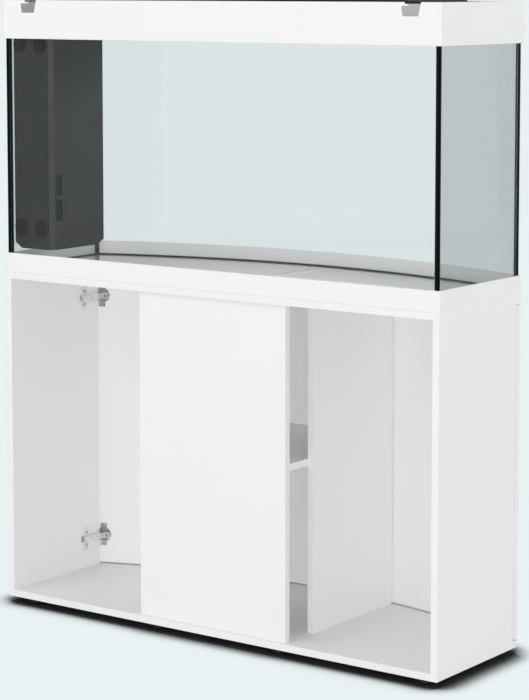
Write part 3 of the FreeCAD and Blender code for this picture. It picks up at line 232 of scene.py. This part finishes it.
def clear_rubber():
    """Milky soft plastic of the bumpers."""
    s = Shader("clear_rubber")
    rough = s.ramp(s.noise(500, 3), 0.3, 0.45)
    return s.out(
        s.principled(
            Base_Color=(0.80, 0.80, 0.78, 1),
            Roughness=rough,
            Subsurface_Weight=0.4,
            Subsurface_Radius=(0.002, 0.002, 0.002),
            Subsurface_Scale=1.0,
        )
    )


def foam():
    """Open-cell filter foam: blue struts with painted shade in the pores between them, the blue itself
    darkened as painted shade.
    """
    s = Shader("blue_sponge")
    pores = {"Vector": s.place(), "Scale": 520}
    cells = s.add("TexVoronoi", pores, feature="DISTANCE_TO_EDGE").outputs[0]
    struts = s.ramp(cells, 1, 0, 0.02, 0.22)
    shade = s.ramp(s.noise(30, 3), 0.75, 1)
    # Near-black painted shade in the pores; the struts' blue is also darkened as painted shade.
    colour = s.blend(s.math("MULTIPLY", struts, shade), (0.004, 0.008, 0.015), (0.018, 0.045, 0.09))
    relief = s.bump(struts, 0.0008)
    return s.out(s.principled(Base_Color=colour, Roughness=0.85, Normal=relief))


def ceramic():
    """The heater's core."""
    s = Shader("heater_ceramic")
    colour = s.blend(s.noise(400, 3), (0.62, 0.60, 0.56), (0.72, 0.70, 0.66))
    grain = s.bump(s.noise(1500), 0.00005)
    return s.out(s.principled(Base_Color=colour, Roughness=0.7, Normal=grain))


LOOKS = {
    "white_board": white_board(),
    "white_plastic": moulded("white_plastic", grey(0.876), grey(0.882), (0.28, 0.34), 2200, 0.000001),
    "clear_glass": pane_glass("clear_glass", (0.945, 0.950, 0.950)),
    "heater_glass": thin_glass(),
    "tube_glass": lamp_tube(),
    "black_silicone": silicone(),
    "black_plastic": moulded(
        "black_plastic",
        grey(0.011),
        grey(0.015),
        (0.40, 0.46),
        1600,
        0.0000004,
        scuffs=0.08,
        gloss=0.3,
    ),
    "grey_plastic": moulded(
        "grey_plastic", (0.50, 0.51, 0.52), (0.55, 0.56, 0.57), (0.38, 0.5), 1800, 0.00003
    ),
    "nickel_steel": plated(
        "nickel_steel", (0.66, 0.655, 0.645), (0.85, 0.845, 0.835), (0.14, 0.26), 0.00001
    ),
    "steel": plated("steel", (0.52, 0.53, 0.54), (0.62, 0.63, 0.64), (0.30, 0.46), 0.00002),
    "black_rubber": moulded(
        "black_rubber", grey(0.020, 0.001), grey(0.028, 0.001), (0.6, 0.75), 1500, 0.00006
    ),
    "clear_rubber": clear_rubber(),
    "blue_sponge": foam(),
}

# CAD nodes: material and softened edges

# Width of the rounding of each material's edges, in millimetres.
BEVELS = {
    "white_board": 0.4,
    "white_plastic": 1.0,
    "clear_glass": 0.6,
    "black_plastic": 0.5,
    "grey_plastic": 0.5,
    "nickel_steel": 0.25,
    "steel": 0.2,
    "black_rubber": 0.3,
    "clear_rubber": 0.5,
    "tube_glass": 0.3,
}


def dress(piece, slot):
    """Gives a piece its slot's material."""
    if not piece.material_slots:
        piece.data.materials.append(LOOKS[slot])
    for place in piece.material_slots:
        place.link = "OBJECT"
        place.material = LOOKS[slot]


def soften(piece, width):
    """Rounds a CAD piece's sharp edges a little to catch the light, and keeps flat faces flat."""
    weld = piece.modifiers.new("weld", "WELD")
    weld.merge_threshold = SAME_POINT
    bevel = piece.modifiers.new("edges", "BEVEL")
    bevel.width = width * MM
    bevel.segments = 2
    bevel.limit_method = "ANGLE"
    bevel.angle_limit = math.radians(40)
    bevel.use_clamp_overlap = True
    shading = piece.modifiers.new("shading", "WEIGHTED_NORMAL")
    shading.mode = "FACE_AREA"
    shading.keep_sharp = True


# A darker copy of the clear glass for the end panes: painted shade for their darker look through several
# panes.
SHADED_END_GLASS = pane_glass("shaded_end_glass", (0.67, 0.69, 0.695))

SLOTS = {part["node"]: part["material_slot"] for part in frame["record"]["subparts"]}
for name, slot in SLOTS.items():
    dress(NODES[name], slot)
    if slot in BEVELS:
        soften(NODES[name], BEVELS[slot])
# The end panes wear the darker copy, as painted shade.
for name in ("left_pane", "right_pane"):
    NODES[name].material_slots[0].material = SHADED_END_GLASS

# New pieces


def piece(name, build, body, slot, look=None):
    """A new mesh object: build fills a bmesh, and the piece rides on a body."""
    mesh = bpy.data.meshes.new(name)
    shape = bmesh.new()
    build(shape)
    bmesh.ops.recalc_face_normals(shape, faces=shape.faces)
    shape.to_mesh(mesh)
    shape.free()
    thing = bpy.data.objects.new(name, mesh)
    bpy.context.scene.collection.objects.link(thing)
    mesh.materials.append(look or LOOKS[slot])
    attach(thing, body)
    return thing


def parts_of(node):
    """The solids of a CAD node, each as a list of (centre, normal, area, corners) of its faces."""
    shape = bmesh.new()
    shape.from_mesh(NODES[node].data)
    bmesh.ops.remove_doubles(shape, verts=shape.verts, dist=SAME_POINT)
    seen, solids = set(), []
    for first in shape.faces:
        if first in seen:
            continue
        seen.add(first)
        stack, found = [first], []
        while stack:
            face = stack.pop()
            corners = [vert.co.copy() for vert in face.verts]
            found.append((face.calc_center_median(), face.normal.copy(), face.calc_area(), corners))
            for edge in face.edges:
                for other in edge.link_faces:
                    if other not in seen:
                        seen.add(other)
                        stack.append(other)
        solids.append(found)
    shape.free()
    return solids


def largest_face(faces):
    """Centre and normal of a solid's largest flat round face."""
    sums = {}
    for centre, normal, area, corners in faces:
        plane = tuple(round(c, 2) for c in normal) + (round(centre.dot(normal), 4),)
        total = sums.setdefault(plane, [0.0, normal, set()])
        total[0] += area
        total[2].update(tuple(round(c, 6) for c in corner) for corner in corners)
    _, normal, corners = max(sums.values(), key=lambda total: total[0])
    points = [Vector(c) for c in corners]
    return sum(points, Vector()) / len(points), normal


def recess_shade_crosses(name, node, body, span):
    """Black crosses on each screw head of a node, painted shade where the drive's recess would be. span
    is the cross's width in millimetres.
    """
    places = [largest_face(faces) for faces in parts_of(node)]
    scale = Matrix.Diagonal((span * MM, span * 0.2 * MM, 0.12 * MM, 1))

    def build(shape):
        for centre, normal in places:
            turn = normal.to_track_quat("Z", "Y").to_matrix().to_4x4()
            for angle in (45, 135):
                twist = Matrix.Rotation(math.radians(angle), 4, "Z")
                bar = bmesh.ops.create_cube(shape, size=1.0)["verts"]
                place = Matrix.Translation(centre) @ turn @ twist
                bmesh.ops.transform(shape, matrix=place @ scale, verts=bar)

    # Thin black rubber bars on the head, not cut into it: painted shade of the recess.
    return piece(name, build, body, "steel", LOOKS["black_rubber"])


recess_shade_crosses("hinge_plate_screw_recess_shade", "hinge_plate_screws", "cabinet", 4.6)
recess_shade_crosses("foot_screw_recess_shade", "foot_screws", "cabinet", 5.6)
for side in ("left", "right"):
    recess_shade_crosses(f"{side}_cup_screw_recess_shade", f"{side}_cup_screws", f"{side}_door_leaf", 4.6)


def ribs(name, body, low, high, count):
    """Raised grip ribs that fill the box from low to high, side by side in x."""
    pitch = (high.x - low.x) / count
    outline = [(-0.32, low.z), (-0.2, high.z), (0.2, high.z), (0.32, low.z)]

    def build(shape):
        for index in range(count):
            x = low.x + (index + 0.5) * pitch
            front, rear = (
                [shape.verts.new((x + share * pitch, y, z)) for share, z in outline]
                for y in (low.y, high.y)
            )
            for i in range(4):
                j = (i + 1) % 4
                shape.faces.new((front[i], front[j], rear[j], rear[i]))
            shape.faces.new(front)
            shape.faces.new(rear)

    return piece(name, build, body, "black_plastic")


RIB_FOOT, RIB_TOP = (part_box("feeding_hatch")[1].z - depth * MM for depth in (0.42, 0.05))
RIB_FRONT, RIB_REAR = 1.5 * MM, 7.5 * MM


def grip(name, node, body, half, count):
    """Ribs at the front edge of a flap or hatch, for half millimetres to each side of its middle."""
    low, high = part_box(node)
    middle = (low.x + high.x) / 2
    first = Vector((middle - half * MM, low.y + RIB_FRONT, RIB_FOOT))
    ribs(name, body, first, Vector((middle + half * MM, low.y + RIB_REAR, RIB_TOP)), count)


for side in ("left", "right"):
    grip(f"{side}_flap_grip", f"{side}_flap", f"{side}_lid", 26, 13)
grip("feeding_hatch_grip", "feeding_hatch", "feeding_lid", 16, 8)


def foam_block(low, high, seed):
    """A cut block of foam: rounded edges and faces that are slightly torn."""
    cells = [max(2, round((high[i] - low[i]) / (7 * MM))) for i in range(3)]
    middle, half = (low + high) / 2, (high - low) / 2
    edge = 3.5 * MM

    def build(shape):
        points = {}

        def corner(index):
            if index in points:
                return points[index]
            flat = Vector(low[i] + (high[i] - low[i]) * index[i] / cells[i] for i in range(3))
            local = flat - middle
            core = Vector(max(-half[i] + edge, min(half[i] - edge, local[i])) for i in range(3))
            out = local - core
            rounded = middle + core + out.normalized() * edge if out.length > 1e-9 else flat
            tear = noise.noise(rounded * 90 + Vector((seed, 0, 0)))
            share = 1 - 0.010 - 0.012 * (tear + 1) / 2
            points[index] = shape.verts.new(middle + (rounded - middle) * share)
            return points[index]

        for axis in range(3):
            a, b = (axis + 1) % 3, (axis + 2) % 3
            for end in (0, cells[axis]):
                for i in range(cells[a]):
                    for j in range(cells[b]):
                        ring = []
                        for di, dj in ((0, 0), (1, 0), (1, 1), (0, 1)):
                            index = [0, 0, 0]
                            index[axis], index[a], index[b] = end, i + di, j + dj
                            ring.append(corner(tuple(index)))
                        shape.faces.new(ring)

    return build


def smooth(thing):
    """Shades a mesh object smooth."""
    for polygon in thing.data.polygons:
        polygon.use_smooth = True


for number, faces in enumerate(parts_of("filter_sponges")):
    corners = [corner for face in faces for corner in face[3]]
    low = Vector(min(c[i] for c in corners) for i in range(3))
    high = Vector(max(c[i] for c in corners) for i in range(3))
    block = foam_block(low, high, number)
    sponge = piece(f"filter_sponge_{number}", block, "cabinet", "blue_sponge")
    smooth(sponge)
    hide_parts("filter_sponges")


def around(centre, radius, angle):
    """x and y of a point on a circle about centre."""
    return centre.x + radius * math.cos(angle), centre.y + radius * math.sin(angle)


def lathe(shape, centre, outline, steps=48):
    """A profile of (radius, z) pairs turned round a vertical axis."""
    rings = []
    for radius, z in outline:
        ring = []
        for step in range(steps if radius > 0 else 1):
            angle = 2 * math.pi * step / steps
            ring.append(shape.verts.new((*around(centre, radius, angle), z)))
        rings.append(ring)
    for lower, upper in zip(rings, rings[1:]):
        for step in range(steps):
            after = (step + 1) % steps
            loop = [lower[step % len(lower)], lower[after % len(lower)]]
            loop += [upper[after % len(upper)], upper[step % len(upper)]]
            shape.faces.new(list(dict.fromkeys(loop)))


def heater():
    """The heater's tube with a round foot, and its wound core inside."""
    low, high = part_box("heater_rod")
    centre = (low + high) / 2
    radius = (high.x - low.x) / 2
    core_radius = radius * 0.42
    wall = 1.2 * MM

    def foot(r, bottom):
        """The profile of a shallow dome, from its middle to its rim."""
        quarter = [math.pi / 2 * step / 8 for step in range(9)]
        return [(r * math.sin(a), bottom + r * 0.6 * (1 - math.cos(a))) for a in quarter]

    def tube(shape):
        inner = radius - wall
        outside = foot(radius, low.z) + [(radius, high.z)]
        inside = foot(inner, low.z + wall) + [(inner, high.z)]
        lathe(shape, centre, outside + inside[::-1])

    def core(shape):
        bottom, top = low.z + 20 * MM, high.z - 1 * MM
        outline = [(0, bottom), (core_radius, bottom), (core_radius, top), (0, top)]
        lathe(shape, centre, outline, 24)

    glass = piece("heater_tube", tube, "cabinet", "heater_glass")
    inner = piece("heater_core", core, "cabinet", "heater_glass", ceramic())
    path = bpy.data.curves.new("heater_winding", "CURVE")
    path.dimensions = "3D"
    path.bevel_depth = 0.35 * MM
    path.bevel_resolution = 1
    spline = path.splines.new("POLY")
    turns, per_turn = 46, 14
    spline.points.add(turns * per_turn)
    start, rise = low.z + 35 * MM, 190 * MM
    for index, point in enumerate(spline.points):
        angle = 2 * math.pi * index / per_turn
        z = start + rise * index / (turns * per_turn)
        point.co = (*around(centre, core_radius + 0.3 * MM, angle), z, 1)
    winding = bpy.data.objects.new("heater_winding", path)
    bpy.context.scene.collection.objects.link(winding)
    path.materials.append(LOOKS["nickel_steel"])
    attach(winding, "cabinet")
    smooth(glass)
    smooth(inner)
    for thing in (glass, inner, winding):
        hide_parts("heater_rod")


heater()

# Floor, light and camera

PAPER = (0.823, 0.896, 0.914)
WORLD_LIGHT = 0.60
GLOSS_LIGHT = 0.3  # how bright floor and studio are in a mirror image, next to how they are seen
CONTACT_REACH = 0.075
OPEN_SKY = (0.60, 0.97)  # from this share of open sky to that the contact shadow fades


def floor_look():
    """A pale floor that keeps the object's contact shadow."""
    s = Shader("floor")
    grain = s.ramp(s.noise(1.5, 2), 0.995, 1.0)
    reach = {"Distance": CONTACT_REACH, "Color": (1, 1, 1, 1)}
    open_sky = s.add("AmbientOcclusion", reach, samples=12).outputs["AO"]
    fade = {0: open_sky, 1: OPEN_SKY[0], 2: OPEN_SKY[1]}
    contact = s.add("MapRange", fade, interpolation_type="SMOOTHSTEP").outputs[0]
    shade = s.math("MULTIPLY", contact, grain)
    path = s.add("LightPath").outputs
    mirrored = s.math("SUBTRACT", path["Is Glossy Ray"], path["Is Transmission Ray"])
    level = s.ramp(mirrored, 1.0, GLOSS_LIGHT, 0.0, 1.0)
    strength = s.math("MULTIPLY", shade, level)
    glow = s.add("Emission", {"Color": (*PAPER, 1), "Strength": strength}).outputs[0]
    paint = s.add("BsdfDiffuse", {"Color": (0.80, 0.82, 0.83, 1)}).outputs[0]
    seen = s.add("MixShader", {0: 0.04, 1: glow, 2: paint}).outputs[0]
    direct = s.math("MAXIMUM", path["Is Camera Ray"], path["Is Glossy Ray"])
    direct = s.math("MAXIMUM", direct, path["Is Transmission Ray"])
    return s.out(s.add("MixShader", {0: direct, 1: paint, 2: seen}).outputs[0])


def make_floor():
    """A wide disc under the object."""
    mesh = bpy.data.meshes.new("floor")
    shape = bmesh.new()
    bmesh.ops.create_circle(shape, cap_ends=True, segments=96, radius=260)
    shape.to_mesh(mesh)
    shape.free()
    floor = bpy.data.objects.new("floor", mesh)
    floor.location.z = CAD_BOX[0].z - 0.2 * MM
    bpy.context.scene.collection.objects.link(floor)
    mesh.materials.append(floor_look())


def make_world():
    """An even pale studio. What the camera, glass and metal see of it is the floor's colour."""
    world = bpy.data.worlds.new("studio")
    world.use_nodes = True
    tree = world.node_tree
    tree.nodes.clear()
    light = tree.nodes.new("ShaderNodeBackground")
    light.inputs[0].default_value = (1.0, 0.99, 0.98, 1)
    light.inputs[1].default_value = WORLD_LIGHT
    seen = tree.nodes.new("ShaderNodeBackground")
    seen.inputs[0].default_value = (*PAPER, 1)
    path = tree.nodes.new("ShaderNodeLightPath")
    level = tree.nodes.new("ShaderNodeMapRange")
    level.inputs[3].default_value = 1.0
    level.inputs[4].default_value = GLOSS_LIGHT
    mirrored = tree.nodes.new("ShaderNodeMath")
    mirrored.operation = "SUBTRACT"
    tree.links.new(path.outputs["Is Glossy Ray"], mirrored.inputs[0])
    tree.links.new(path.outputs["Is Transmission Ray"], mirrored.inputs[1])
    tree.links.new(mirrored.outputs[0], level.inputs[0])
    tree.links.new(level.outputs[0], seen.inputs[1])
    joined = path.outputs["Is Camera Ray"]
    for name in ("Is Glossy Ray", "Is Transmission Ray"):
        highest = tree.nodes.new("ShaderNodeMath")
        highest.operation = "MAXIMUM"
        tree.links.new(joined, highest.inputs[0])
        tree.links.new(path.outputs[name], highest.inputs[1])
        joined = highest.outputs[0]
    mix = tree.nodes.new("ShaderNodeMixShader")
    out = tree.nodes.new("ShaderNodeOutputWorld")
    tree.links.new(joined, mix.inputs[0])
    tree.links.new(light.outputs[0], mix.inputs[1])
    tree.links.new(seen.outputs[0], mix.inputs[2])
    tree.links.new(mix.outputs[0], out.inputs[0])
    bpy.context.scene.world = world


def lamp(name, place, aim, width, height, power):
    """A soft rectangular lamp. It shows in no mirror image unless the caller lets it."""
    data = bpy.data.lights.new(name, "AREA")
    data.shape = "RECTANGLE"
    data.size, data.size_y = width, height
    data.energy = power
    thing = bpy.data.objects.new(name, data)
    thing.location = place
    thing.visible_glossy = False
    thing.visible_transmission = False
    thing.rotation_mode = "QUATERNION"
    thing.rotation_quaternion = (Vector(aim) - Vector(place)).to_track_quat("-Z", "Y")
    bpy.context.scene.collection.objects.link(thing)
    return thing


make_floor()
make_world()
# wrap lights the cabinet's bays from far behind the camera, without shadows.
wrap = lamp("wrap", (-10.2, 14.4, 1.9), (0, 0, 0.7), 7.5, 7.5, 1180)
wrap.data.use_shadow = False
wrap.visible_glossy = True
lamp("key", (2.6, 4.6, 5.0), (0, 0, 0.7), 5.0, 3.5, 95)
front = lamp("front", (-3.5, -4.9, 3.3), (0, 0, 0.9), 3.0, 1.6, 103)
front.visible_glossy = True

# The photograph's viewpoint. The angles are in degrees: yaw from +Y towards +X, pitch above level.
EYE = (-3.1588, 4.3319, 1.4784)
YAW, PITCH = 143.792, -5.832

camera = bpy.data.cameras.new("camera")
camera.lens = 120.695
camera.shift_y = -0.18
camera.clip_end = 1000
eye = bpy.data.objects.new("camera", camera)
bpy.context.scene.collection.objects.link(eye)
eye.location = EYE
yaw, pitch = math.radians(YAW), math.radians(PITCH)
level = math.cos(pitch)
ahead = Vector((level * math.sin(yaw), level * math.cos(yaw), math.sin(pitch)))
eye.rotation_mode = "QUATERNION"
eye.rotation_quaternion = ahead.to_track_quat("-Z", "Y")
bpy.context.scene.camera = eye
bpy.context.scene.view_settings.view_transform = "Standard"

bpy.context.view_layer.update()
